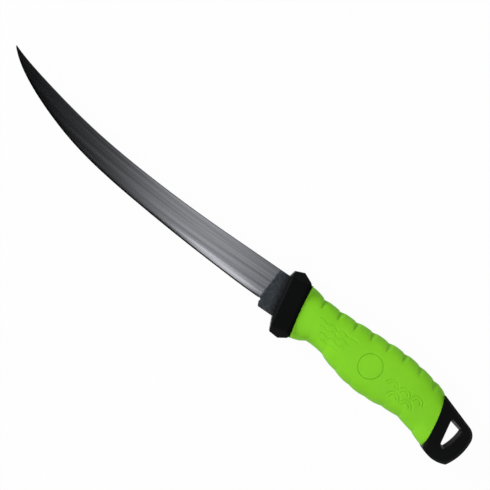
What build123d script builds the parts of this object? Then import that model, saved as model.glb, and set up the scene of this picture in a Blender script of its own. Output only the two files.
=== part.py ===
from build123d import *

import os
from math import cos, radians, sin

os.makedirs("parts", exist_ok=True)

# Fillet knife lying on its right side, left side up. X runs from the tip to the butt, Y from
# the cutting edge to the back of the blade, and Z is up. The origin is under the middle of
# the guard, on the surface that the knife lies on. Lengths are millimetres, angles degrees.

# Blade, measured forward from the middle of the guard's front face
blade_length = 204.0
ricasso_length = 9.7
spine_height = 12.5
heel_depth = 7.85
tip_rise = 21.3
tip_height = 0.6
ricasso_depth = 12.0
choil_slant = 1.8
choil_radius = 0.9
corner_radius = 0.8
stock_thickness = 2.2
heel_thickness = 1.9
tip_thickness = 0.8
bevel_thickness = 0.44
bevel_height = 0.8
plunge_width = 0.6

# Part of its rise that the back and the cutting edge have made at even steps from the plunge
# line to the tip
spine_rise_shares = (0, 0.005, 0.014, 0.054, 0.127, 0.242, 0.423, 0.667, 1)
edge_rise_shares = (0, 0.027, 0.063, 0.111, 0.17, 0.252, 0.393, 0.613, 1)

# Tang, from the guard to short of the grip's end
tang_setback = 9.2
tang_root_width = 14.0
tang_end_width = 9.0
tang_droop = 5.5
tang_corner = 2.0
tang_seat = 3.5

# Guard, along its own axis from its front face, which leans forward at the top
handle_rake = 9.5
guard_length = 13.6
guard_top = 17.7
guard_belly = 21.9
guard_thickness = 25.0
guard_corner = 5.0
guard_top_shares = ((0, 0.72), (0.11, 0.93), (0.51, 1), (0.88, 0.8), (1, 0.685))
guard_belly_shares = ((1, 0.83), (0.91, 0.9), (0.56, 1), (0.15, 0.935), (0, 0.56))
guard_plan_shares = ((0, 0.84), (0.12, 1), (0.8, 1), (1, 0.88))

# Grip, from the guard to the butt cap: nine lobes between ten valleys
grip_length = 95.2
first_lobe = 9.9
last_lobe = 8.9
lobe_count = 9
lobe_steps = 3
grip_top = 12.9
grip_belly = 20.7
grip_thickness = 25.0
lobe_bulge = 0.5
valley_top_shares = (1.15, 0.985, 0.935, 0.95, 0.99, 1, 0.995, 0.917, 0.741, 0.41)
valley_belly_shares = (0.81, 0.63, 0.675, 0.86, 0.975, 1, 0.955, 0.935, 1.07, 1.255)
bulge_top_shares = (1.5, 0.6, 0.8, 0.9, 0.9, 1.1, 1, 0.85, 2)
bulge_belly_shares = (1.9, -0.6, 1.3, 1.3, 1.2, 1, 0.5, 0.3, 1.2)
swell_share = 0.53
front_thinning_share = 0.15
rear_thinning_share = 0.22
shoulder_up_share = 0.74
shoulder_out_share = 0.79
front_barrel = 0.8
rear_barrel = 1.9
end_top = 6.6
end_belly = 25.5

# Stiff core inside the grip, in two halves
core_thickness = 13.0
core_wall = 4.0
core_chamfer = 2.5
spigot_length = 6.0
spigot_height = 17.4
spigot_thickness = 10.0
peg_radius = 1.5
peg_length = 2.6
peg_high = 6.2
peg_low = 11.8
core_stations = (1, 2, 4, 6, 8)

# Rivets through core and tang
rivet_radius = 2.0
rivet_head_radius = 3.5
rivet_head_height = 1.2
rivet_first = 24.0
rivet_last = 8.0
rivet_count = 3

# Round badge discs let into both sides of the grip
badge_radius = 7.3
badge_depth = 2.0
badge_back = 49.3
badge_drop = 4.2

# Butt cap, along its own axis from the end of the grip
cap_step = 0.5
cap_heel_step = 0.4
cap_length = 24.2
cap_corner_drop = 13.0
cap_toe_length = 16.2
cap_toe_drop = 35.5
cap_back_bow = 2.5
cap_belly_bow = 2.0
cap_corner_radius = 7.5
cap_toe_radius = 4.0
cap_thickness = 19.0
cap_end_thickness = 11.0
cap_edge = 1.6
tongue_length = 6.5
tongue_height = 14.0
tongue_thickness = 9.0
pin_radius = 1.5
pin_setback = 3.3

# Three-cornered lanyard hole in the butt cap
hole_setback = 9.7
hole_drop = 12.2
hole_height = 15.7
hole_length = 6.0
hole_corner_drop = 2.6
hole_bow = 0.9
hole_corner = 0.7
hole_draft = 10.0

# Fits
press_gap = 0.05
slot_gap = 0.1
badge_gap = 0.2
overrun = 5.0

rake = radians(handle_rake)
middle = guard_thickness / 2
guard_front = -guard_length / 2
guard_rear = guard_front + guard_length / cos(rake)
grip_end = guard_rear + grip_length
tang_length = grip_length - tang_setback
lobe_pitch = (grip_length - first_lobe - last_lobe) / (lobe_count - 2)
plunge_x = guard_front - ricasso_length
ground_length = blade_length - ricasso_length


def cross_plane(x):
    """Upright plane across the blade, with local x towards the back and local y up."""
    return Plane(origin=(x, 0, middle), x_dir=(0, 1, 0), z_dir=(1, 0, 0))


def raked_plane(x):
    """Leaning plane across the handle, with local x towards its back and local y up."""
    return Plane(origin=(x, 0, middle), x_dir=(-sin(rake), cos(rake), 0), z_dir=(cos(rake), sin(rake), 0))


def side_plane(x):
    """Plane along the handle's middle, with local x towards the butt, square to the rake."""
    return Plane(origin=(x, 0, middle), x_dir=(cos(rake), sin(rake), 0), z_dir=(0, 0, 1))


def plan_plane(x):
    """Plane along the handle, seen from its belly, with local x towards the butt and local y up."""
    return Plane(origin=(x, 0, middle), x_dir=(cos(rake), sin(rake), 0), z_dir=(sin(rake), -cos(rake), 0))


def blank(points):
    """Closed straight-sided face in the sketch at hand."""
    with BuildLine() as outline:
        Polyline(*points, close=True)
    make_face(outline.edges())


# Ground blade: flat grind from back to edge, thinning towards the tip
def ground_section(station, spine_share, edge_share):
    """Five-cornered section with a narrow edge bevel, at a share of the ground length."""
    spine = spine_height + spine_share * tip_rise
    edge = -heel_depth + edge_share * (tip_rise + spine_height + heel_depth - tip_height)
    height = spine - edge
    thinning = station * (heel_thickness - tip_thickness) / heel_thickness
    half = heel_thickness * (1 - thinning) / 2
    bevel_half = bevel_thickness * (1 - thinning) / 2
    bevel_rise = bevel_height * height / (height + bevel_height)
    bevel = edge + bevel_rise
    return ((spine, half), (bevel, bevel_half), (edge, 0), (bevel, -bevel_half), (spine, -half))


def tang_outline(gap):
    """Side outline of the tang from inside the guard to its end, wider by a gap all round."""
    root = guard_front + tang_seat - gap
    end = guard_rear + tang_length + gap
    top = tang_root_width / 2 + gap
    end_top = -tang_droop + tang_end_width / 2 + gap
    end_bottom = end_top - tang_end_width - 2 * gap
    with BuildLine() as outline:
        Polyline((root, top), (end, end_top), (end, end_bottom), (root, -top), close=True)
    face = make_face(outline.edges())
    fillet(face.vertices().group_by(Axis.X)[-1], tang_corner)


def rivet_place(index):
    """Rivet centre on the tang's middle line, in plan; a half index lies between two rivets."""
    slope = tang_droop / (guard_rear + tang_length - guard_front - tang_seat)
    x = guard_rear + rivet_first + index * (tang_length - rivet_first - rivet_last) / (rivet_count - 1)
    return (x, -slope * (x - guard_front - tang_seat))


def at_height(spots, z):
    """The same plan places at one height."""
    return [(x, y, z) for x, y in spots]


rivet_spots = [rivet_place(index) for index in range(rivet_count)]

with BuildPart() as blade:
    rises = list(zip(spine_rise_shares, edge_rise_shares))
    for index, (spine_share, edge_share) in enumerate(rises):
        station = index / (len(rises) - 1)
        with BuildSketch(cross_plane(plunge_x - plunge_width - station * (ground_length - plunge_width))):
            blank(ground_section(station, spine_share, edge_share))
    loft()
    heel_section = ground_section(0, *rises[0])
    stock_half = stock_thickness / 2
    with BuildSketch(cross_plane(plunge_x - plunge_width)):
        blank(heel_section)
    with BuildSketch(cross_plane(plunge_x)):
        blank([(y, stock_half if z > 0 else -stock_half if z < 0 else 0) for y, z in heel_section])
    loft(ruled=True)
    with BuildSketch(Plane.XY.offset(middle)):
        seat = guard_front + tang_seat
        with BuildLine():
            Polyline(
                (plunge_x, spine_height),
                (seat, spine_height),
                (seat, -ricasso_depth),
                (plunge_x + choil_slant, -ricasso_depth),
                (plunge_x, -heel_depth),
                close=True,
            )
        ricasso = make_face()
        fillet(ricasso.vertices().group_by(Axis.Y)[0].sort_by(Axis.X)[0], corner_radius)
        tang_outline(0)
    extrude(amount=stock_half, both=True)
    with Locations((plunge_x, -heel_depth - choil_radius / 2, middle)):
        Cylinder(choil_radius, stock_thickness + overrun, mode=Mode.SUBTRACT)
    with Locations(*at_height(rivet_spots, middle)):
        Cylinder(rivet_radius + press_gap, stock_thickness + overrun, mode=Mode.SUBTRACT)
blade.part.label = "blade"
export_step(blade.part, "parts/blade.step")


# Handle form: nine lobes lofted between the leaning valleys, with bowed ends
def widening(x):
    """Half the grip's thickness at a place along the handle."""
    share = (x - guard_rear) / grip_length
    if share < swell_share:
        thinning = front_thinning_share * (1 - share / swell_share) ** 2
    else:
        thinning = rear_thinning_share * ((share - swell_share) / (1 - swell_share)) ** 2
    return grip_thickness * (1 - thinning) / 2


def valley_places():
    """Valleys along the handle; the first and last lie past the bowed ends."""
    inner = [guard_rear + first_lobe + index * lobe_pitch for index in range(lobe_count - 1)]
    return [guard_rear - front_barrel, *inner, grip_end + rear_barrel]


def between_valleys(values, step, bulges=None):
    """Value at a step along the lobes, standing out from the line between two valleys."""
    index = min(step // lobe_steps, lobe_count - 1)
    share = step / lobe_steps - index
    bulge = bulges[index] * lobe_bulge if bulges else 0
    return values[index] * (1 - share) + values[index + 1] * share + 4 * bulge * share * (1 - share)


def oval_section(top, belly, half):
    """Full oval, flatter at the sides than an ellipse, between two heights from the handle's axis."""
    centre = (top - belly) / 2
    rise = (top + belly) / 2
    shoulder_up = shoulder_up_share * rise
    shoulder_out = shoulder_out_share * half
    with BuildLine() as outline:
        Spline(
            (centre + rise, 0),
            (centre + shoulder_up, shoulder_out),
            (centre, half),
            (centre - shoulder_up, shoulder_out),
            (centre - rise, 0),
            (centre - shoulder_up, -shoulder_out),
            (centre, -half),
            (centre + shoulder_up, -shoulder_out),
            periodic=True,
        )
    make_face(outline.edges())


def barrel(face_x, bulge, high, low, turn):
    """Centre and radius of the round end form through a leaning face at its top and belly."""
    radius = (high + low) ** 2 / (8 * bulge) + bulge / 2
    along = turn * (radius - bulge)
    up = (high - low) / 2
    x = face_x + along * cos(rake) - up * sin(rake)
    return (x, along * sin(rake) + up * cos(rake), middle), radius


places = valley_places()
tops = [grip_top * share for share in valley_top_shares]
bellies = [grip_belly * share for share in valley_belly_shares]
front_centre, front_radius = barrel(guard_rear, front_barrel, tops[0], bellies[0], 1)
rear_centre, rear_radius = barrel(grip_end, rear_barrel, end_top, end_belly, -1)
form_height = guard_thickness + 2 * overrun

with BuildPart() as handle_form:
    for step in range(lobe_count * lobe_steps + 1):
        x = between_valleys(places, step)
        top = between_valleys(tops, step, bulge_top_shares)
        belly = between_valleys(bellies, step, bulge_belly_shares)
        with BuildSketch(raked_plane(x)):
            oval_section(top, belly, widening(x))
    loft(ruled=True)
    with Locations(front_centre):
        Cylinder(front_radius, form_height, mode=Mode.INTERSECT)
    with Locations(rear_centre):
        Cylinder(rear_radius, form_height, mode=Mode.INTERSECT)


# Guard: faceted collar cut from its side, front and plan outlines
def box_along(x, start, end, centre, height, thickness, mode=Mode.ADD):
    """Block in the handle's own directions, from start to end along it."""
    with BuildSketch(side_plane(x)) as profile:
        with Locations(((start + end) / 2, centre)):
            Rectangle(end - start, height)
    extrude(profile.sketch, amount=thickness / 2, both=True, mode=mode)


with BuildPart() as guard:
    with BuildSketch(side_plane(guard_front)):
        back = [(along * guard_length, up * guard_top) for along, up in guard_top_shares]
        under = [(along * guard_length, -up * guard_belly) for along, up in guard_belly_shares]
        blank(back + under)
    extrude(amount=guard_thickness / 2, both=True)
    with BuildSketch(raked_plane(guard_front)):
        with Locations(((guard_top - guard_belly) / 2, 0)):
            collar = Rectangle(guard_top + guard_belly, guard_thickness)
        chamfer(collar.vertices(), guard_corner)
    extrude(amount=guard_length + overrun, both=True, mode=Mode.INTERSECT)
    with BuildSketch(plan_plane(guard_front)):
        plan = [(along * guard_length, out * guard_thickness / 2) for along, out in guard_plan_shares]
        blank(plan + [(x, -z) for x, z in reversed(plan)])
    extrude(amount=guard_top + guard_belly, both=True, mode=Mode.INTERSECT)
    with Locations(front_centre):
        Cylinder(front_radius, form_height, mode=Mode.SUBTRACT)
    with BuildSketch(Plane.XY.offset(middle)):
        with Locations((guard_front + (tang_seat - overrun) / 2, (spine_height - ricasso_depth) / 2)):
            Rectangle(tang_seat + overrun, spine_height + ricasso_depth + 2 * slot_gap)
        tang_outline(slot_gap)
    extrude(amount=stock_half + slot_gap, both=True, mode=Mode.SUBTRACT)
    box_along(guard_rear, -spigot_length, overrun, 0, spigot_height + 2 * slot_gap,
              spigot_thickness + 2 * slot_gap, Mode.SUBTRACT)
guard.part.label = "guard"
export_step(guard.part, "parts/guard.step")


# Core: stiff inner handle, split along the blade's middle plane
cap_centre = (end_top - end_belly) / 2
pin_place = (grip_end - pin_setback * cos(rake) - cap_centre * sin(rake),
             cap_centre * cos(rake) - pin_setback * sin(rake))
peg_places = []
for index in range(rivet_count - 1):
    peg_x = rivet_place(index + 1 / 2)[0]
    peg_places += [(peg_x, peg_high), (peg_x, -peg_low)]


def handle_point(x, up):
    """Plan place at a height up the leaning section through x."""
    return (x - up * sin(rake), up * cos(rake))


with BuildPart() as core_body:
    with BuildSketch(Plane.XY.offset(middle)):
        spots = [places[0] - overrun, *[places[index] for index in core_stations], places[-1] + overrun]
        indices = [0, *core_stations, -1]
        high = [handle_point(x, tops[index] - core_wall) for x, index in zip(spots, indices)]
        low = [handle_point(x, core_wall - bellies[index]) for x, index in zip(spots, indices)]
        blank(high + list(reversed(low)))
    extrude(amount=core_thickness / 2, both=True)
    rims = core_body.edges().group_by(Axis.Z)
    chamfer(rims[0] + rims[-1], core_chamfer)
    with Locations(front_centre):
        Cylinder(front_radius, form_height, mode=Mode.INTERSECT)
    with Locations(rear_centre):
        Cylinder(rear_radius, form_height, mode=Mode.INTERSECT)

with BuildPart() as core:
    add(core_body.part)
    box_along(guard_rear, -spigot_length, front_barrel, 0, spigot_height, spigot_thickness)
    box_along(grip_end, -tongue_length - slot_gap, overrun, cap_centre, tongue_height + 2 * slot_gap,
              tongue_thickness + 2 * slot_gap, Mode.SUBTRACT)
    with BuildSketch(Plane.XY.offset(middle)):
        tang_outline(slot_gap)
    extrude(amount=stock_half + slot_gap, both=True, mode=Mode.SUBTRACT)
    with Locations(*at_height(rivet_spots, middle)):
        Cylinder(rivet_radius + press_gap, core_thickness + overrun, mode=Mode.SUBTRACT)
    for side in (-1, 1):
        with Locations(*at_height(rivet_spots, middle + side * (core_thickness - rivet_head_height) / 2)):
            Cylinder(rivet_head_radius + slot_gap, rivet_head_height, mode=Mode.SUBTRACT)
    with Locations((*pin_place, middle)):
        Cylinder(pin_radius + press_gap, core_thickness + overrun, mode=Mode.SUBTRACT)

with BuildPart() as core_left:
    add(core.part)
    split(bisect_by=Plane.XY.offset(middle), keep=Keep.TOP)
    with Locations(*at_height(peg_places, middle - peg_length / 2)):
        Cylinder(peg_radius, peg_length)
core_left.part.label = "core_left"
export_step(core_left.part, "parts/core_left.step")

with BuildPart() as core_right:
    add(core.part)
    split(bisect_by=Plane.XY.offset(middle), keep=Keep.BOTTOM)
    with Locations(*at_height(peg_places, middle - (peg_length + slot_gap) / 2)):
        Cylinder(peg_radius + press_gap, peg_length + slot_gap, mode=Mode.SUBTRACT)
core_right.part.label = "core_right"
export_step(core_right.part, "parts/core_right.step")


# Rivets with sunk heads, flush with the core's sides
with BuildPart() as tang_rivets:
    with Locations(*at_height(rivet_spots, middle)):
        Cylinder(rivet_radius, core_thickness)
    for side in (-1, 1):
        with Locations(*at_height(rivet_spots, middle + side * (core_thickness - rivet_head_height) / 2)):
            Cylinder(rivet_head_radius, rivet_head_height)
tang_rivets.part.label = "tang_rivets"
export_step(tang_rivets.part, "parts/tang_rivets.step")


# Badge discs, whose faces follow the grip's sides
badge_x = guard_rear + badge_back
badge_floor = middle + widening(badge_x - badge_drop * sin(rake)) - badge_depth
badge_place = (badge_x, -badge_drop, badge_floor)
up_and_out = (Align.CENTER, Align.CENTER, Align.MIN)

with BuildPart() as badge_left:
    add(handle_form.part)
    with Locations(badge_place):
        Cylinder(badge_radius - badge_gap, badge_depth + overrun, align=up_and_out, mode=Mode.INTERSECT)
badge_left.part.label = "badge_left"
export_step(badge_left.part, "parts/badge_left.step")

with BuildPart() as badge_right:
    mirror(badge_left.part, about=Plane.XY.offset(middle))
badge_right.part.label = "badge_right"
export_step(badge_right.part, "parts/badge_right.step")


# Grip sleeve: soft skin over the core, with a round recess for each badge
with BuildPart() as badge_recess:
    with Locations(badge_place):
        Cylinder(badge_radius, badge_depth + overrun, align=up_and_out)
    mirror(about=Plane.XY.offset(middle))

with BuildPart() as grip_sleeve:
    add(handle_form.part)
    add(core_body.part, mode=Mode.SUBTRACT)
    add(badge_recess.part, mode=Mode.SUBTRACT)
grip_sleeve.part.label = "grip_sleeve"
export_step(grip_sleeve.part, "parts/grip_sleeve.step")


# Butt cap: tapering horn with a bowed back, a tongue into the core and the lanyard hole
with BuildPart() as butt_cap:
    cap_top = end_top - cap_step
    corner = (cap_length, cap_top - cap_corner_drop)
    toe = (cap_toe_length, cap_top - cap_toe_drop)
    heel = (0, -end_belly - cap_heel_step)
    with BuildSketch(side_plane(grip_end)):
        with BuildLine():
            Line((0, cap_top), corner)
            SagittaArc(corner, toe, cap_back_bow)
            SagittaArc(toe, heel, cap_belly_bow)
            Line(heel, (0, cap_top))
        horn = make_face()
        fillet(horn.vertices().sort_by_distance(corner)[0], cap_corner_radius)
        fillet(horn.vertices().sort_by_distance(toe)[0], cap_toe_radius)
    extrude(amount=cap_thickness, both=True)
    with BuildSketch(plan_plane(grip_end)):
        blank([
            (0, cap_thickness / 2),
            (cap_length + cap_back_bow, cap_end_thickness / 2),
            (cap_length + cap_back_bow, -cap_end_thickness / 2),
            (0, -cap_thickness / 2),
        ])
    extrude(amount=cap_toe_drop + overrun, both=True, mode=Mode.INTERSECT)
    with Locations(rear_centre):
        Cylinder(rear_radius, form_height, mode=Mode.SUBTRACT)
    rim = butt_cap.edges().filter_by(lambda edge: abs(edge.center().Z - middle) > cap_end_thickness / 3)
    front_face = butt_cap.faces().filter_by(GeomType.CYLINDER).sort_by(Axis.X)[0]
    chamfer([edge for edge in rim if edge not in front_face.edges()], cap_edge)
    hole_start = (hole_setback, cap_top - hole_drop)
    hole_end = (hole_setback, cap_top - hole_drop - hole_height)
    hole_back = (hole_setback + hole_length, cap_top - hole_drop - hole_corner_drop)
    with BuildSketch(side_plane(grip_end)):
        with BuildLine():
            Line(hole_start, hole_back)
            SagittaArc(hole_back, hole_end, hole_bow)
            Line(hole_end, hole_start)
        slot = make_face()
        fillet(slot.vertices().sort_by(Axis.Y)[0], hole_corner)
    extrude(amount=cap_thickness / 2 + overrun, both=True, taper=-hole_draft, mode=Mode.SUBTRACT)
    box_along(grip_end, -tongue_length, rear_barrel + tongue_length / 2, cap_centre,
              tongue_height, tongue_thickness)
    with Locations((*pin_place, middle)):
        Cylinder(pin_radius + press_gap, core_thickness, mode=Mode.SUBTRACT)
butt_cap.part.label = "butt_cap"
export_step(butt_cap.part, "parts/butt_cap.step")


# Cross pin that holds the cap's tongue in the core
with BuildPart() as cap_pin:
    with Locations((*pin_place, middle)):
        Cylinder(pin_radius, core_thickness)
cap_pin.part.label = "cap_pin"
export_step(cap_pin.part, "parts/cap_pin.step")
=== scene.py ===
from math import cos, exp, pi, radians, sin

import bmesh
import bpy
import numpy as np
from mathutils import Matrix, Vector
from mathutils.bvhtree import BVHTree
from mathutils.kdtree import KDTree


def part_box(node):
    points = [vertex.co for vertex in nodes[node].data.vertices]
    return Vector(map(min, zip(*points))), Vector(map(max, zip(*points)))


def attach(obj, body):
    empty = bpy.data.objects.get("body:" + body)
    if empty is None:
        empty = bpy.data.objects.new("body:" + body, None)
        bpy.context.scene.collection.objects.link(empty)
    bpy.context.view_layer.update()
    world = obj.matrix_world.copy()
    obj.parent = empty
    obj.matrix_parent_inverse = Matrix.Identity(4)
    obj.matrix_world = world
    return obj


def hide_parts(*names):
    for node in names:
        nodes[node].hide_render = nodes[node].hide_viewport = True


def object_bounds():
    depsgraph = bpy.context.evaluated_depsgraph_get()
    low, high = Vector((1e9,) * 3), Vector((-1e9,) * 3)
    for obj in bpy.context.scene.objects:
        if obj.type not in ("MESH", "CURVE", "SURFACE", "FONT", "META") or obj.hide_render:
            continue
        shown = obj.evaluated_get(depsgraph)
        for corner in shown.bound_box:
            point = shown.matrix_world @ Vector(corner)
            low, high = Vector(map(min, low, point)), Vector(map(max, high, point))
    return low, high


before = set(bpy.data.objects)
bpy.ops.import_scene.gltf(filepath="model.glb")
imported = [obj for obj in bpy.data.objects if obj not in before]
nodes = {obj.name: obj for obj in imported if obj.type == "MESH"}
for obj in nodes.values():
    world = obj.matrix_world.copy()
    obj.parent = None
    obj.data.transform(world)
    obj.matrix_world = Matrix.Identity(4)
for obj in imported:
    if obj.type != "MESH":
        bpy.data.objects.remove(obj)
cad_low, cad_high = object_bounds()
scene = bpy.context.scene
MM = 0.001
MIDDLE = (cad_low.z + cad_high.z) / 2
WHITE = (1, 1, 1, 1)

# Photo frame: what the camera sees, as real sizes in the knife's own plane
PHOTO_WIDTH = 277.8 * MM
PHOTO_CENTRE = (-40.0 * MM, 12.6 * MM)
PHOTO_ROLL = radians(34.2)
LENS = 120.0
SENSOR = 36.0
CLIP_START = 0.01
CLIP_END = 50

# Handle: its sections lean by the rake, and the grip's ends are places on the X axis
RAKE = radians(9.5)
ALONG = np.array((cos(RAKE), sin(RAKE), 0.0))
UP = np.array((-sin(RAKE), cos(RAKE), 0.0))
OUT = np.array((0.0, 0.0, 1.0))
GRIP_FRONT = 6.99 * MM
GRIP_END = 102.19 * MM
FRONT_BOW = 0.8 * MM
REAR_BOW = 1.0 * MM
BOW_FADE = 6
BOW_ROUNDS = 2

# Grip mesh: rings along the grip, spokes round it
RINGS = 420
SPOKES = 360
END_GAP = 0.0012
REACH = 40 * MM
HALF_WIDTH = 12 * MM
GRIP_SMOOTHING = 6
BORE_SHARE = 0.8
BORE_STEP = 26

# Lip round the grip's front edge
LIP_HEIGHT = 0.45 * MM
LIP_WIDTH = 1.1 * MM

# Notches between the lobes: long ones from the back, short faint ones from the belly
VALLEYS = [GRIP_FRONT + 9.9 * MM + index * 10.914 * MM for index in range(8)]
LEAN_FRONT = 0.5
LEAN_REAR = 1.5
BACK_SHARE = 0.25
SHOULDER_FACING = 0.45
NOTCH_LENGTH = 5.2 * MM
NOTCH_WIDTH = 1.0 * MM
NOTCH_FLARE = 1.3 * MM
NOTCH_DEPTH = 1.45 * MM
NOTCH_FADE = 0.6
BELLY_LENGTH = 3.5 * MM
BELLY_WIDTH = 0.9 * MM
BELLY_DEPTH = 0.35 * MM

# Engraved motifs: ripples at the front of the grip, scales at the rear
RIPPLES = 4
RIPPLE_STEPS = 60
RIPPLE_LENGTH = 25 * MM
RIPPLE_LOSS = 4.5 * MM
RIPPLE_START = np.array((18, 2.8)) * MM
RIPPLE_OFFSET = np.array((2.2, -3.4)) * MM
RIPPLE_HEIGHT = 0.8 * MM
RIPPLE_PITCH = 7.0 * MM
SCALE_ROWS = 2
SCALE_COUNT = 3
SCALE_STEPS = 50
SCALE_ENDS = (radians(8), radians(172))
SCALE_PITCH = 8.4 * MM
SCALE_DROP = 0.62
SCALE_ARCHES = (0.46, 0.26)
SCALES_START = np.array((72.5, -6.8)) * MM
STROKE_DEPTH = 0.42 * MM
STROKE_WIDTH = 0.32 * MM
STROKE_REACH = 1.2 * MM
STROKE_SPACING = 0.1 * MM
STROKE_FACING = 0.35

# Badge disc on each side, and the recess it lies in
BADGE = np.array((56.29, -4.2)) * MM
BADGE_RADIUS = 7.3 * MM
RIM_BAND = 0.16 * MM
RECESS_DEPTH = 1.0 * MM
RECESS_MARGIN = 0.45 * MM
DISC_STEPS = 96
DISC_RINGS = 12
DISC_FLAT = 6.7 * MM
DISC_RIM = ((6.88 * MM, 0.04 * MM), (7.0 * MM, 0.14 * MM), (7.05 * MM, 0.32 * MM), (7.05 * MM, 1.2 * MM))

# Blade: its ground length runs from the leaning plunge line to the tip
PLUNGE = -17.1 * MM
PLUNGE_EDGE = np.array((-16.3, -7.6)) * MM
PLUNGE_SPINE = np.array((-15.2, 12.5)) * MM
PLUNGE_STEP = 0.55 * MM
PLUNGE_OVERLAP = 0.4 * PLUNGE_STEP
PLUNGE_DROP = 0.2 * MM
PLUNGE_RUN = 16 * MM
CHOIL_EDGE = -7.42 * MM
CRISP_ANGLE = radians(15)
BLADE_WELD = 0.001 * MM
TIP_END = 0.06 * MM
BLADE_STEPS = 300
BLADE_SPACING = 1.5
BLADE_SMOOTHING = 120
BLADE_REACH = 100 * MM

# Blade section: edge bevel, slightly rounded ground face and eased back corner
FACE_STEPS = 16
FACE_SPACING = 1.8
FACE_PROBES = (0.1, 0.9)
FACE_ROUNDING = 0.5
FACE_POWER = 5
STEEPEST_FACE = 0.045
BEVEL_HEIGHT = 0.8 * MM
STEEPEST_BEVEL = 0.16
BACK_EASE = 0.45 * MM
EASE_OF_FACE = 0.12
EASE_OF_BACK = 0.8
BACK_CORNER = ((0.4, 0.3), (0.0, 0.8))
GRAIN_OFFSET = 50 * MM

# Guard and cap: rounded edges, and the cap's mouth that meets the grip's bowed end
MOULDED_WELD = 0.002 * MM
FLAT_ANGLE = radians(1.0)
ROUNDED_ANGLE = radians(18)
ROUNDING_SEGMENTS = 3
GUARD_ROUNDING = 0.45 * MM
CAP_ROUNDING = 0.6 * MM
MOUTH_NEAR = 100.6 * MM
MOUTH_FAR = 102.8 * MM
MOUTH_CENTRE = -26.3 * MM
MOUTH_RISE = 16.5 * MM
MOUTH_SHIFT = 0.9 * MM

# Floor and sky: directions are those of the unit vector that looks at the sky
FLOOR_SPAN = 6.0
FLOOR_GREY = (0.64, 0.64, 0.64, 1)
FLOOR_WHITENESS = 0.97
SKY_HEIGHTS = (0.2, 0.7)
HORIZON_LEVEL = 0.6
ZENITH_LEVEL = 0.01

# Soft glow overhead that the blade mirrors: share of its run from the tip's side, and level there
GLOW_RUN = (-0.2, 0.06)
GLOW_SIDES = ((-0.22, -0.16), (0.07, 0.03))
GLOW_HEIGHT = 0.5
GLOW_LEVEL = 2.0
GLOW_CURVE = (
    (0.0, 0.01), (0.104, 0.018), (0.231, 0.04), (0.395, 0.11), (0.437, 0.17), (0.478, 0.38),
    (0.519, 0.56), (0.561, 0.65), (0.603, 0.74), (0.646, 0.88), (0.686, 0.92), (0.727, 0.86),
    (0.77, 0.72), (0.81, 0.58), (0.852, 0.36), (0.9, 0.28), (1.0, 0.2),
)


# Shader helpers
class NodeTree:
    """Adds and links the nodes of one tree."""

    def __init__(self, tree):
        self.tree = tree

    def add(self, kind, **values):
        """A node with its settings and inputs given by name."""
        node = self.tree.nodes.new(kind)
        for key, value in values.items():
            if hasattr(node, key):
                setattr(node, key, value)
            else:
                node.inputs[key.replace("_", " ")].default_value = value
        return node

    def link(self, source, target):
        self.tree.links.new(source, target)

    def spread(self, factor, low, high, start=0.0, end=1.0, **values):
        """A factor mapped from start..end to low..high."""
        limits = {"From_Min": start, "From_Max": end, "To_Min": low, "To_Max": high}
        spread = self.add("ShaderNodeMapRange", **limits, **values)
        self.link(factor, spread.inputs["Value"])
        return spread.outputs["Result"]

    def maths(self, operation, *terms):
        """Result of an operation on sockets and plain numbers."""
        node = self.add("ShaderNodeMath", operation=operation)
        for term, socket in zip(terms, node.inputs):
            if isinstance(term, float):
                socket.default_value = term
            else:
                self.link(term, socket)
        return node.outputs["Value"]


class Shader(NodeTree):
    """Node tree of one new material."""

    def __init__(self, name):
        self.material = bpy.data.materials.new(name)
        self.material.use_nodes = True
        super().__init__(self.material.node_tree)
        self.tree.nodes.clear()
        self.output = self.add("ShaderNodeOutputMaterial")

    def noise_on(self, vector, scale, detail, roughness=0.5):
        noise = self.add("ShaderNodeTexNoise", Scale=scale, Detail=detail, Roughness=roughness)
        self.link(vector, noise.inputs["Vector"])
        return noise.outputs["Fac"]

    def noise(self, scale, detail, roughness=0.5):
        """Noise in object coordinates."""
        coordinates = self.add("ShaderNodeTexCoord")
        return self.noise_on(coordinates.outputs["Object"], scale, detail, roughness)

    def grain_noise(self, stretch):
        """Noise stretched along the blade's own grain, which its mesh carries."""
        grain = self.add("ShaderNodeAttribute", attribute_name="grain")
        mapping = self.add("ShaderNodeMapping", Scale=stretch)
        self.link(grain.outputs["Vector"], mapping.inputs["Vector"])
        return self.noise_on(mapping.outputs["Vector"], 1.0, 1.0)

    def ramp(self, factor, *stops):
        """A factor turned into colours at given places."""
        ramp = self.add("ShaderNodeValToRGB")
        elements = ramp.color_ramp.elements
        while len(elements) < len(stops):
            elements.new(0.5)
        for element, (place, colour) in zip(elements, stops):
            element.position = place
            element.color = (*colour, 1)
        self.link(factor, ramp.inputs["Fac"])
        return ramp.outputs["Color"]

    def bump(self, height, distance, strength, previous=None):
        bump = self.add("ShaderNodeBump", Strength=strength, Distance=distance)
        self.link(height, bump.inputs["Height"])
        if previous:
            self.link(previous, bump.inputs["Normal"])
        return bump.outputs["Normal"]

    def surface(self, colour, roughness, normal=None, **values):
        """Principled surface from colour, roughness and normal sockets; returns the material."""
        shader = self.add("ShaderNodeBsdfPrincipled", **values)
        self.link(colour, shader.inputs["Base Color"])
        self.link(roughness, shader.inputs["Roughness"])
        if normal:
            self.link(normal, shader.inputs["Normal"])
        self.link(shader.outputs["BSDF"], self.output.inputs["Surface"])
        return self.material


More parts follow.
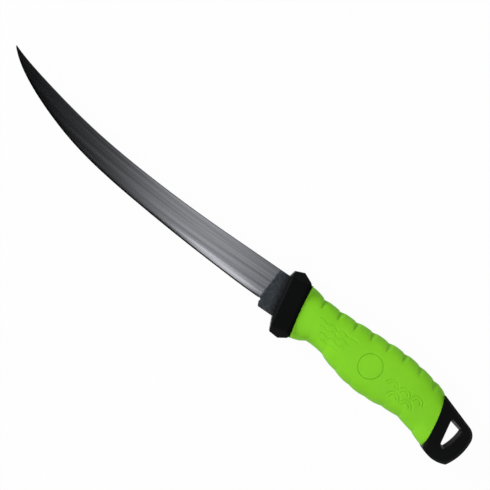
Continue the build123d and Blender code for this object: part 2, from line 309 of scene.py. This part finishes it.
# Materials
def green_rubber():
    """Soft lime green moulding, matte, with faint clouding and a fine tooth."""
    shade = Shader("grip_green")
    clouds = shade.noise(60.0, 4.0)
    tooth = shade.noise(2600.0, 2.0)
    colour = shade.ramp(clouds, (0.3, (0.198, 0.585, 0.0125)), (0.7, (0.226, 0.64, 0.0155)))
    coarse = shade.bump(shade.noise(420.0, 3.0), 0.06 * MM, 0.35)
    normal = shade.bump(tooth, 0.03 * MM, 0.3, coarse)
    return shade.surface(colour, shade.spread(tooth, 0.5, 0.66), normal, Specular_IOR_Level=0.16)


def black_plastic(name, wear_scale):
    """Near-black moulding with a faint grain and slightly uneven gloss."""
    shade = Shader(name)
    wear = shade.noise(wear_scale, 5.0)
    gloss = shade.noise(140.0, 3.0)
    colour = shade.ramp(wear, (0.3, (0.0012, 0.0014, 0.0014)), (0.75, (0.003, 0.0032, 0.0034)))
    normal = shade.bump(shade.noise(1900.0, 2.0), 0.04 * MM, 0.35)
    return shade.surface(colour, shade.spread(gloss, 0.34, 0.5), normal, Specular_IOR_Level=0.05)


def blade_steel():
    """Satin steel, brushed along the blade's own curve, with long soft streaks."""
    shade = Shader("blade_steel")
    brushing = shade.grain_noise((9, 620, 1))
    streaks = shade.grain_noise((7, 260, 1))
    fine = shade.ramp(brushing, (0.3, (0.135, 0.138, 0.147)), (0.7, (0.222, 0.227, 0.241)))
    dark, plain, pale = (0.86, 0.87, 0.88), (0.98, 0.98, 0.98), (1.1, 1.09, 1.13)
    tint = shade.ramp(streaks, (0.32, dark), (0.5, plain), (0.68, pale))
    mix = shade.add("ShaderNodeMix", data_type="RGBA", blend_type="MULTIPLY", Factor=1.0)
    shade.link(fine, mix.inputs[6])
    shade.link(tint, mix.inputs[7])
    normal = shade.bump(brushing, 0.003 * MM, 0.15)
    return shade.surface(mix.outputs[2], shade.spread(brushing, 0.1, 0.14), normal, Metallic=1.0)


def ricasso_steel():
    """Unground steel between plunge line and guard: dark, bluish and mottled."""
    shade = Shader("ricasso_steel")
    mottle = shade.noise(520.0, 4.0, 0.6)
    colour = shade.ramp(mottle, (0.3, (0.032, 0.037, 0.042)), (0.7, (0.064, 0.073, 0.081)))
    normal = shade.bump(mottle, 0.02 * MM, 0.25)
    return shade.surface(colour, shade.spread(mottle, 0.34, 0.46), normal, Metallic=1.0)


def plain_steel():
    """Plain fastener steel with fine turning marks."""
    shade = Shader("fastener_steel")
    marks = shade.noise(900.0, 3.0)
    colour = shade.ramp(marks, (0.3, (0.4, 0.4, 0.41)), (0.7, (0.55, 0.55, 0.56)))
    return shade.surface(colour, shade.spread(marks, 0.3, 0.45), Metallic=1.0)


def floor_paper():
    """White paper that stays white to the camera and keeps the knife's shadow."""
    shade = Shader("floor_paper")
    paper = shade.add("ShaderNodeBsdfDiffuse", Color=FLOOR_GREY)
    glow = shade.add("ShaderNodeEmission", Color=WHITE)
    path = shade.add("ShaderNodeLightPath")
    seen = shade.maths("MAXIMUM", path.outputs["Is Camera Ray"], path.outputs["Is Glossy Ray"])
    seen = shade.maths("MAXIMUM", seen, path.outputs["Is Transmission Ray"])
    mix = shade.add("ShaderNodeMixShader")
    shade.link(shade.maths("MULTIPLY", seen, FLOOR_WHITENESS), mix.inputs["Fac"])
    shade.link(paper.outputs["BSDF"], mix.inputs[1])
    shade.link(glow.outputs["Emission"], mix.inputs[2])
    shade.link(mix.outputs["Shader"], shade.output.inputs["Surface"])
    return shade.material


green = green_rubber()
guard_black = black_plastic("guard_black", 45.0)
cap_black = black_plastic("cap_black", 52.0)
core_black = black_plastic("core_black", 58.0)
steel = blade_steel()
unground = ricasso_steel()
fastener = plain_steel()

FINISHES = {
    "blade": steel,
    "guard": guard_black,
    "core_left": core_black,
    "core_right": core_black,
    "tang_rivets": fastener,
    "grip_sleeve": green,
    "badge_left": green,
    "badge_right": green,
    "butt_cap": cap_black,
    "cap_pin": fastener,
}


def finish_nodes():
    """Give every CAD node its material."""
    for name, finish in FINISHES.items():
        node = nodes[name]
        if not node.material_slots:
            node.data.materials.append(finish)
        for material_slot in node.material_slots:
            material_slot.material = finish


# Mesh helpers
def tree_of(name):
    """Ray-casting tree over one CAD node."""
    mesh = nodes[name].data
    return BVHTree.FromPolygons([v.co for v in mesh.vertices], [p.vertices for p in mesh.polygons])


def shade_smooth(mesh):
    mesh.polygons.foreach_set("use_smooth", [True] * len(mesh.polygons))


def stand_for(name, mesh, material, node):
    """Object of a mesh, parented to the root body's empty, with the CAD node it stands for hidden."""
    mesh.materials.clear()
    mesh.materials.append(material)
    made = bpy.data.objects.new(name, mesh)
    scene.collection.objects.link(made)
    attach(made, "root")
    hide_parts(node)
    return made


def piece(name, vertices, faces, material, node):
    """Smooth-shaded piece from plain vertices and faces."""
    mesh = bpy.data.meshes.new(name)
    mesh.from_pydata([tuple(v) for v in vertices], [], faces)
    mesh.validate()
    shade_smooth(mesh)
    return stand_for(name, mesh, material, node)


def mesh_from(source, name):
    """Mesh of a finished bmesh, which is freed."""
    mesh = bpy.data.meshes.new(name)
    source.to_mesh(mesh)
    source.free()
    return mesh


def welded(node, distance):
    """Bmesh of a CAD node with its doubled points merged."""
    made = bmesh.new()
    made.from_mesh(nodes[node].data)
    bmesh.ops.remove_doubles(made, verts=made.verts, dist=distance)
    return made


def grid_faces(rows, columns):
    """Quads between rows of points, each row's last column joined to its first."""
    faces = []
    for row in range(rows - 1):
        for column in range(columns):
            here = row * columns + column
            beside = row * columns + (column + 1) % columns
            faces.append((here, beside, beside + columns, here + columns))
    return faces


def smooth_along(grid, rounds):
    """Average each row with its neighbours, ends kept."""
    for _ in range(rounds):
        grid[1:-1] = 0.25 * grid[:-2] + 0.5 * grid[1:-1] + 0.25 * grid[2:]
    return grid


# Grip sleeve: a fine grid of leaning rings wrapped on the CAD sleeve
def bow(up, centre, rise, depth):
    """How far a round end stands out at a height of the section."""
    return depth * (1 - ((up - centre) / rise) ** 2)


def height_at(tree, base, side, fallback):
    """Height of the sleeve's top (side 1) or belly (side -1) over a place on the axis."""
    hit = tree.ray_cast(Vector(base + side * REACH * UP), Vector(-side * UP))[0]
    return float(np.dot(np.array(hit) - base, UP)) if hit else fallback


def wrapped_point(tree, base, share, turn, centre, rise, fallback):
    """Point of the sleeve at a turn of one ring, with both ends of the grip bowed out."""
    direction = cos(turn) * rise * UP + sin(turn) * HALF_WIDTH * OUT
    direction /= np.linalg.norm(direction)
    up = centre + rise * cos(turn)
    for _ in range(BOW_ROUNDS):
        offset = share ** BOW_FADE * bow(up, centre, rise, REAR_BOW)
        offset -= (1 - share) ** BOW_FADE * bow(up, centre, rise, FRONT_BOW)
        target = base + offset * ALONG + centre * UP
        hit = tree.ray_cast(Vector(target + REACH * direction), Vector(-direction))[0]
        point = np.array(hit) if hit else fallback
        up = float(np.dot(point - base, UP))
    return point


def wrap_grip(tree):
    """Grid of points on the sleeve, with each ring's place on the axis, its top and its belly."""
    grid = np.zeros((RINGS, SPOKES, 3))
    heights = np.zeros((RINGS, 2))
    turns = 2 * pi * np.arange(SPOKES) / SPOKES
    shares = END_GAP + (1 - 2 * END_GAP) * np.arange(RINGS) / (RINGS - 1)
    places = GRIP_FRONT + shares * (GRIP_END - GRIP_FRONT)
    for ring in range(RINGS):
        base = np.array((places[ring], 0, MIDDLE))
        top = height_at(tree, base, 1, heights[ring - 1, 0])
        low = height_at(tree, base, -1, heights[ring - 1, 1])
        heights[ring] = (top, low)
        centre, rise = (top + low) / 2, (top - low) / 2
        for spoke, turn in enumerate(turns):
            before = grid[ring - 1, spoke]
            grid[ring, spoke] = wrapped_point(tree, base, shares[ring], turn, centre, rise, before)
    return grid, heights, places


def normals_of(grid):
    """Outward normals of the grid."""
    along = np.gradient(grid, axis=0)
    around = np.roll(grid, -1, axis=1) - np.roll(grid, 1, axis=1)
    normals = np.cross(around, along)
    return normals / np.linalg.norm(normals, axis=2, keepdims=True)


def falloff(distance, width):
    """1 at no distance, falling straight to 0 at the width."""
    return np.clip(1 - distance / width, 0, 1)


def notch_depth(places, top, low, up, facing):
    """Wedge cuts at the valleys: shallow over the back, deepest on the shoulder, faint at the belly."""
    depth = np.zeros(up.shape)
    shoulder = BACK_SHARE + (1 - BACK_SHARE) * np.clip(np.abs(facing) / SHOULDER_FACING, 0, 1)
    back = falloff(top[:, None] - up, NOTCH_LENGTH)
    belly = falloff(up - low[:, None], BELLY_LENGTH)
    for valley in VALLEYS:
        gap = places[:, None] - valley
        lean = np.where(gap < 0, LEAN_FRONT, LEAN_REAR)
        wedge = falloff(np.abs(gap), (NOTCH_WIDTH + NOTCH_FLARE * back) * lean)
        depth += NOTCH_DEPTH * back ** NOTCH_FADE * wedge * shoulder
        wedge = falloff(np.abs(gap), BELLY_WIDTH * lean)
        depth += BELLY_DEPTH * belly * wedge * shoulder
    return depth


def lip_height(places):
    """Raised lip round the grip's front edge."""
    half = LIP_WIDTH / 2
    return LIP_HEIGHT * np.exp(-((places - GRIP_FRONT - half) / half) ** 2)


def ripple_strokes():
    """Ripple lines of falling length on the front of the grip."""
    strokes = []
    steps = np.linspace(0, 1, RIPPLE_STEPS)
    swell = np.sin(steps * pi) ** 0.5
    for index in range(RIPPLES):
        length = RIPPLE_LENGTH - RIPPLE_LOSS * index
        start = RIPPLE_START + RIPPLE_OFFSET * index
        wave = RIPPLE_HEIGHT * swell * np.sin(steps * length / RIPPLE_PITCH * 2 * pi)
        strokes.append(np.stack((start[0] + steps * length, start[1] + wave), axis=1))
    return strokes


def scale_strokes():
    """Rows of overlapping scales, each a pair of nested arches, on the rear of the grip."""
    strokes = []
    turns = np.linspace(*SCALE_ENDS, SCALE_STEPS)
    arch = np.stack((np.cos(turns), np.sin(turns)), axis=1)
    for row in range(SCALE_ROWS):
        for index in range(SCALE_COUNT - row):
            offset = np.array((index + row / 2, -row * SCALE_DROP)) * SCALE_PITCH
            for share in SCALE_ARCHES:
                strokes.append(SCALES_START + offset + arch * SCALE_PITCH * share)
    return strokes


def resample(stroke):
    """Evenly spaced points along a stroke."""
    steps = np.linalg.norm(np.diff(stroke, axis=0), axis=1)
    length = np.concatenate(([0], np.cumsum(steps)))
    wanted = np.arange(0, length[-1], STROKE_SPACING)
    return np.stack([np.interp(wanted, length, stroke[:, axis]) for axis in (0, 1)], axis=1)


def stroke_depth(grid, normals):
    """Engraved lines on both sides of the grip."""
    depth = np.zeros(grid.shape[:2])
    points = np.concatenate([resample(stroke) for stroke in ripple_strokes() + scale_strokes()])
    tree = KDTree(len(points))
    for index, (x, y) in enumerate(points):
        tree.insert((x, y, 0), index)
    tree.balance()
    rows, columns = np.nonzero(np.abs(normals[:, :, 2]) > STROKE_FACING)
    for row, column in zip(rows, columns):
        x, y = grid[row, column, :2]
        distance = tree.find((x, y, 0))[2]
        if distance < STROKE_REACH:
            depth[row, column] = STROKE_DEPTH * exp(-(distance / STROKE_WIDTH) ** 2)
    return depth


def fill_recess(grid):
    """Carry the sleeve's surface across the badge recesses, from the rings on both sides."""
    radius = np.linalg.norm(grid[:, :, :2] - BADGE, axis=2)
    hole = radius < BADGE_RADIUS + RECESS_MARGIN
    for column in range(SPOKES):
        rows = np.nonzero(hole[:, column])[0]
        if len(rows) == 0:
            continue
        first, last = max(rows[0] - 1, 0), min(rows[-1] + 1, RINGS - 1)
        share = np.linspace(0, 1, last - first + 1)[:, None]
        grid[first:last + 1, column] = grid[first, column] * (1 - share) + grid[last, column] * share
    return grid


def seat_badges(grid):
    """Snap the rim of each badge recess to a true circle and sink the recess floor."""
    offset = grid[:, :, :2] - BADGE
    radius = np.linalg.norm(offset, axis=2)
    near = np.abs(radius - BADGE_RADIUS) < RIM_BAND
    scale = np.where(near, BADGE_RADIUS / np.maximum(radius, RIM_BAND), 1.0)
    grid[:, :, :2] = BADGE + offset * scale[:, :, None]
    inside = radius < BADGE_RADIUS - RIM_BAND
    side = np.sign(grid[:, :, 2] - MIDDLE)
    grid[:, :, 2] -= np.where(inside, side * RECESS_DEPTH, 0)
    return grid


def make_sleeve():
    """The grip's soft skin as one closed mesh with a bore."""
    grid, heights, places = wrap_grip(tree_of("grip_sleeve"))
    grid = smooth_along(fill_recess(grid), GRIP_SMOOTHING)
    normals = normals_of(grid)
    base = np.stack((places, np.zeros(RINGS), np.full(RINGS, MIDDLE)), axis=1)
    up = ((grid - base[:, None]) * UP).sum(axis=2)
    depth = notch_depth(places, heights[:, 0], heights[:, 1], up, normals[:, :, 2])
    depth += stroke_depth(grid, normals)
    depth -= lip_height(places)[:, None]
    grid = seat_badges(grid - normals * depth[:, :, None])
    centres = base + heights.mean(axis=1)[:, None] * UP
    rows = list(grid)
    for ring in [*range(RINGS - 1, -1, -BORE_STEP), 0]:
        rows.append(centres[ring] + (grid[ring] - centres[ring]) * BORE_SHARE)
    faces = grid_faces(len(rows), SPOKES)
    last = (len(rows) - 1) * SPOKES
    faces += [(last + c, last + (c + 1) % SPOKES, (c + 1) % SPOKES, c) for c in range(SPOKES)]
    piece("grip_skin", np.concatenate(rows), faces, green, "grip_sleeve")


# Badge discs
def disc_surface(tree, x, y, side):
    """Height of the CAD disc's outer face."""
    return tree.ray_cast(Vector((x, y, MIDDLE + side * REACH)), Vector((0, 0, -side)))[0].z


def make_badge(name, node, side):
    """Badge disc with a softly rounded rim, on the curve of its CAD disc."""
    tree = tree_of(node)
    flat = [(ring / DISC_RINGS * DISC_FLAT, 0.0) for ring in range(1, DISC_RINGS + 1)]
    rims = [*flat, *DISC_RIM]
    vertices = []
    for radius, drop in rims:
        for step in range(DISC_STEPS):
            turn = 2 * pi * step / DISC_STEPS
            x = BADGE[0] + radius * cos(turn)
            y = BADGE[1] + radius * sin(turn)
            vertices.append((x, y, disc_surface(tree, x, y, side) - side * drop))
    top = len(vertices)
    last = top - DISC_STEPS
    height = disc_surface(tree, *BADGE, side)
    vertices.append((*BADGE, height))
    vertices.append((*BADGE, height - side * DISC_RIM[-1][1]))
    faces = grid_faces(len(rims), DISC_STEPS)
    for step in range(DISC_STEPS):
        beside = (step + 1) % DISC_STEPS
        faces.append((top, beside, step))
        faces.append((top + 1, last + step, last + beside))
    if side > 0:
        faces = [tuple(reversed(face)) for face in faces]
    piece(name, vertices, faces, green, node)


# Blade
def blade_section(tree, x):
    """Edge, bevel and back of the blade at a place, with its half thickness at bevel and back."""
    spine = tree.ray_cast(Vector((x, BLADE_REACH, MIDDLE)), Vector((0, -1, 0)))[0].y
    edge = tree.ray_cast(Vector((x, -BLADE_REACH, MIDDLE)), Vector((0, 1, 0)))[0].y
    width = spine - edge
    bevel = edge + BEVEL_HEIGHT * width / (width + BEVEL_HEIGHT)
    halves = []
    for share in FACE_PROBES:
        y = bevel + share * (spine - bevel)
        halves.append(tree.ray_cast(Vector((x, y, BLADE_REACH)), Vector((0, 0, -1)))[0].z - MIDDLE)
    slope = (halves[1] - halves[0]) / (FACE_PROBES[1] - FACE_PROBES[0])
    slope = min(slope, STEEPEST_FACE * (spine - bevel))
    thin = min(halves[0] - FACE_PROBES[0] * slope, STEEPEST_BEVEL * (bevel - edge))
    return edge, bevel, spine, thin, thin + slope


def half_section(edge, bevel, spine, thin, thick):
    """One side of a blade section: bevel, slightly rounded ground face and eased back corner."""
    ease = min(BACK_EASE, EASE_OF_FACE * (spine - bevel), EASE_OF_BACK * thick)
    side = [(edge, 0.0), (bevel, thin)]
    for index in range(1, FACE_STEPS + 1):
        part = (index / FACE_STEPS) ** FACE_SPACING
        rise = (1 - FACE_ROUNDING) * part + FACE_ROUNDING * (1 - (1 - part) ** FACE_POWER)
        side.append((bevel + part * (spine - ease - bevel), thin + rise * (thick - thin)))
    side += [(spine - inward * ease, thick - down * ease) for inward, down in BACK_CORNER]
    return side


def plunge_shift(x, y):
    """How far a blade point near the root moves to end on the leaning plunge line."""
    share = (y - PLUNGE_EDGE[1]) / (PLUNGE_SPINE[1] - PLUNGE_EDGE[1])
    line = PLUNGE_EDGE[0] + share * (PLUNGE_SPINE[0] - PLUNGE_EDGE[0]) - PLUNGE_OVERLAP
    return (line - PLUNGE) * max(0.0, 1 - (PLUNGE - x) / PLUNGE_RUN)


def blade_ring(x, side):
    """Closed ring of points round the blade at a place, from one side of its section."""
    ring = [(x + plunge_shift(x, y), y, MIDDLE + z) for y, z in side]
    ring += [(x + plunge_shift(x, y), y, MIDDLE - z) for y, z in reversed(side[1:])]
    return ring


def sharpen_blade(mesh, columns, crisp):
    """Mark the edges along the crisp columns and round the root as sharp."""
    for edge in mesh.edges:
        first, second = edge.vertices
        lengthwise = first % columns == second % columns and first % columns in crisp
        if lengthwise or max(first, second) < columns:
            edge.use_edge_sharp = True


def make_blade():
    """Ground length with crisp bevel lines, eased back corners and closed ends."""
    tree = tree_of("blade")
    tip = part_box("blade")[0][0] + TIP_END
    shares = np.linspace(0, 1, BLADE_STEPS)
    places = PLUNGE + (tip - PLUNGE) * (1 - (1 - shares) ** BLADE_SPACING)
    sections = smooth_along(np.array([blade_section(tree, x) for x in places]), BLADE_SMOOTHING)
    sections[0, 0] = CHOIL_EDGE
    vertices = []
    grain = []
    for x, section in zip(places, sections):
        side = half_section(*section)
        ring = blade_ring(x, side)
        spine = section[2]
        vertices += ring
        grain += [(x, spine - y, GRAIN_OFFSET if z < MIDDLE else 0.0) for x, y, z in ring]
    columns = len(ring)
    faces = grid_faces(BLADE_STEPS, columns)
    faces.append(tuple(range((BLADE_STEPS - 1) * columns, BLADE_STEPS * columns)))
    faces.append(tuple(reversed(range(columns))))
    mesh = piece("blade_steel", vertices, faces, steel, "blade").data
    sharpen_blade(mesh, columns, (0, 1, len(side) - 3, columns - len(side) + 3, columns - 1))
    attribute = mesh.attributes.new("grain", "FLOAT_VECTOR", "POINT")
    attribute.data.foreach_set("vector", np.array(grain).ravel())


def cut_at_plunge(rear, forward):
    """Cut the blade off at the leaning plunge line and return the new end's faces."""
    corner = Vector((*PLUNGE_EDGE, MIDDLE))
    geometry = rear.verts[:] + rear.edges[:] + rear.faces[:]
    bmesh.ops.bisect_plane(rear, geom=geometry, plane_co=corner, plane_no=forward, clear_outer=True)
    rim = [edge for edge in rear.edges if edge.is_boundary]
    return bmesh.ops.edgeloop_fill(rear, edges=rim)["faces"]


def add_step(rear, cap, forward):
    """Eased step from the ricasso down to the ground faces."""
    step = bmesh.ops.extrude_face_region(rear, geom=cap)["geom"]
    for point in [item for item in step if isinstance(item, bmesh.types.BMVert)]:
        point.co += forward * PLUNGE_STEP
        height = point.co.z - MIDDLE
        point.co.z = MIDDLE + height * (1 - PLUNGE_DROP / max(abs(height), PLUNGE_DROP))
    bmesh.ops.delete(rear, geom=cap, context="FACES_ONLY")


def make_ricasso():
    """The unground length behind the plunge line, with the tang, and its eased front step."""
    rear = welded("blade", BLADE_WELD)
    run = PLUNGE_SPINE - PLUNGE_EDGE
    forward = Vector((-run[1], run[0], 0)).normalized()
    add_step(rear, cut_at_plunge(rear, forward), forward)
    bmesh.ops.recalc_face_normals(rear, faces=rear.faces)
    for edge in rear.edges:
        edge.smooth = edge.calc_face_angle(0.0) < CRISP_ANGLE
    stand_for("ricasso", mesh_from(rear, "ricasso"), unground, "blade")


# Guard and cap: the CAD forms with their edges rounded as moulded
def moulded(name, node, material, width):
    """Copy of a CAD node's mesh with rounded edges."""
    source = welded(node, MOULDED_WELD)
    bmesh.ops.dissolve_limit(source, angle_limit=FLAT_ANGLE, verts=source.verts, edges=source.edges)
    mesh = mesh_from(source, name)
    shade_smooth(mesh)
    made = stand_for(name, mesh, material, node)
    rounding = made.modifiers.new("rounding", "BEVEL")
    rounding.width = width
    rounding.segments = ROUNDING_SEGMENTS
    rounding.limit_method = "ANGLE"
    rounding.angle_limit = ROUNDED_ANGLE
    rounding.harden_normals = False
    weighted = made.modifiers.new("weighted", "WEIGHTED_NORMAL")
    weighted.keep_sharp = True
    return made


def close_mouth(cap):
    """Bring the cap's bowed mouth forward to the grip's flatter end."""
    for vertex in cap.data.vertices:
        along = float(np.dot(vertex.co, ALONG))
        height = float(np.dot(vertex.co, UP)) - MOUTH_CENTRE
        if MOUTH_NEAR < along < MOUTH_FAR:
            shift = MOUTH_SHIFT * max(0.0, 1 - (height / MOUTH_RISE) ** 2)
            vertex.co -= Vector(shift * ALONG)


# Stage, camera and light
def make_floor():
    """Floor under the knife."""
    span = FLOOR_SPAN
    mesh = bpy.data.meshes.new("floor")
    corners = [(-span, -span, 0), (span, -span, 0), (span, span, 0), (-span, span, 0)]
    mesh.from_pydata(corners, [], [(0, 1, 2, 3)])
    floor = bpy.data.objects.new("floor", mesh)
    scene.collection.objects.link(floor)
    mesh.materials.append(floor_paper())


def make_camera():
    """Camera straight over the photo's centre, rolled as in the photo."""
    data = bpy.data.cameras.new("camera")
    data.lens = LENS
    data.sensor_width = SENSOR
    data.clip_start = CLIP_START
    data.clip_end = CLIP_END
    camera = bpy.data.objects.new("camera", data)
    distance = PHOTO_WIDTH / 2 * LENS / (SENSOR / 2)
    camera.location = (*PHOTO_CENTRE, MIDDLE + distance)
    camera.rotation_euler = (0, 0, PHOTO_ROLL)
    scene.collection.objects.link(camera)
    scene.camera = camera


def overhead_glow(shade, place):
    """Level of the soft glow in a direction: along its run, between its sides and above the floor."""
    profile = shade.add("ShaderNodeFloatCurve")
    curve = profile.mapping.curves[0]
    while len(curve.points) < len(GLOW_CURVE):
        curve.points.new(0.5, 0.5)
    for point, location in zip(curve.points, GLOW_CURVE):
        point.location = location
    profile.mapping.update()
    shade.link(shade.spread(place.outputs["X"], 0.0, 1.0, *GLOW_RUN), profile.inputs["Value"])
    level = profile.outputs["Value"]
    for limits in GLOW_SIDES:
        side = shade.spread(place.outputs["Y"], 0.0, 1.0, *limits, interpolation_type="SMOOTHSTEP")
        level = shade.maths("MULTIPLY", level, side)
    above = shade.maths("GREATER_THAN", place.outputs["Z"], GLOW_HEIGHT)
    return shade.maths("MULTIPLY", level, above)


def studio_world():
    """Dim ceiling that brightens towards the horizon, with the soft glow overhead."""
    world = bpy.data.worlds.new("studio")
    world.use_nodes = True
    shade = NodeTree(world.node_tree)
    coordinates = shade.add("ShaderNodeTexCoord")
    place = shade.add("ShaderNodeSeparateXYZ")
    shade.link(coordinates.outputs["Generated"], place.inputs["Vector"])
    ceiling = shade.spread(place.outputs["Z"], HORIZON_LEVEL, ZENITH_LEVEL, *SKY_HEIGHTS)
    strength = shade.maths("MULTIPLY_ADD", overhead_glow(shade, place), GLOW_LEVEL, ceiling)
    background = world.node_tree.nodes["Background"]
    background.inputs["Color"].default_value = WHITE
    shade.link(strength, background.inputs["Strength"])
    return world


def softbox(name, place, target, size, power):
    """Rectangular area lamp aimed at a point."""
    data = bpy.data.lights.new(name, "AREA")
    data.shape = "RECTANGLE"
    data.size, data.size_y = size
    data.energy = power
    lamp = bpy.data.objects.new(name, data)
    lamp.location = place
    lamp.rotation_euler = (Vector(target) - Vector(place)).to_track_quat("-Z", "Y").to_euler()
    scene.collection.objects.link(lamp)


finish_nodes()
make_sleeve()
make_badge("badge_disc_left", "badge_left", 1)
make_badge("badge_disc_right", "badge_right", -1)
make_blade()
make_ricasso()
moulded("guard_collar", "guard", guard_black, GUARD_ROUNDING)
close_mouth(moulded("cap_horn", "butt_cap", cap_black, CAP_ROUNDING))

make_floor()
make_camera()
scene.view_settings.view_transform = "Standard"
scene.world = studio_world()
softbox("edge_glow", (-0.06, -0.26, 1.3), (-0.05, 0.0, 0.0), (0.12, 0.13), 0.14)
softbox("front_top", (0.32, -0.72, 1.2), (0.04, 0.0, 0.0), (0.5, 0.3), 6.4)
softbox("back_top", (0.1, 0.68, 1.2), (0.04, 0.0, 0.0), (0.6, 0.3), 2.9)
softbox("butt_top", (0.5, -0.1, 1.15), (0.05, 0.0, 0.0), (0.3, 0.5), 1.6)
softbox("tip_side", (-1.1, 0.0, 0.6), (0.0, 0.0, 0.0), (0.4, 0.6), 12.0)
